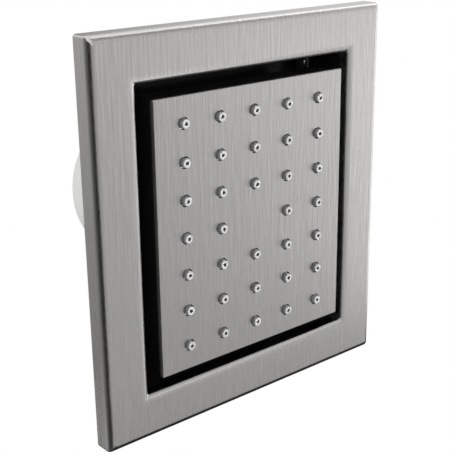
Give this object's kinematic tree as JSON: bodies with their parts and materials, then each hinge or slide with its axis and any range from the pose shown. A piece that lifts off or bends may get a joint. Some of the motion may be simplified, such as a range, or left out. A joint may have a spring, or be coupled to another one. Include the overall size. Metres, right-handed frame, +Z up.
{
  "type": "shower body jet",
  "caption": "Oblong recessed shower body jet: brushed trim frame, swivelling spray head with rubber nozzles in a dark well, and a round rough-in housing with a threaded inlet.",
  "frame": {"origin": "centre of the four wall screws, on the finished wall's face behind the trim", "axes": "+X to the right seen from the room, +Y into the wall, +Z up"},
  "size_m": [0.128, 0.0866, 0.1396],
  "materials": {
    "brushed_steel": "vertical brush lines, satin",
    "foam": "closed-cell foam",
    "dark_plastic": "moulded, fine grain",
    "spring_steel": "rolled, bright",
    "white_plastic": "moulded, fine grain",
    "black_rubber": "moulded",
    "zinc_steel": "zinc plated",
    "brass": "machined",
    "chrome": "polished",
    "grey_plastic": "moulded",
    "acetal": "smooth",
    "head_plastic": "moulded, fine grain",
    "nozzle_rubber": "soft, satin"
  },
  "bodies": {
    "fixed": {"trim_frame": "brushed_steel", "wall_gasket": "foam", "recess_well": "dark_plastic", "frame_clips": "spring_steel", "rough_housing": "white_plastic", "housing_gasket": "black_rubber", "housing_screws": "zinc_steel", "inlet_fitting": "brass", "inlet_washer": "black_rubber", "inlet_locknut": "brass", "filter_screen": "grey_plastic", "flow_regulator": "grey_plastic", "ball_stem": "chrome", "stem_o_ring": "black_rubber", "tilt_pins": "zinc_steel"},
    "swivel": {"gimbal_ring": "zinc_steel"},
    "head": {"face_plate": "brushed_steel", "nozzle_mat": "nozzle_rubber", "spray_tray": "head_plastic", "chamber_gasket": "black_rubber", "head_cover": "head_plastic", "cover_screws": "zinc_steel", "ball_seal": "black_rubber", "seat_ring": "acetal", "socket_nut": "head_plastic", "pan_pins": "zinc_steel"}
  },
  "joints": [
    {"name": "head_tilt", "type": "hinge", "parent": "fixed", "child": "swivel", "pos_m": [0, 0.015, 0], "axis": [1, 0, 0], "range_deg": [-10, 10]},
    {"name": "head_pan", "type": "hinge", "parent": "swivel", "child": "head", "pos_m": [0, 0.015, 0], "axis": [0, 0, 1], "range_deg": [-10, 10]}
  ]
}
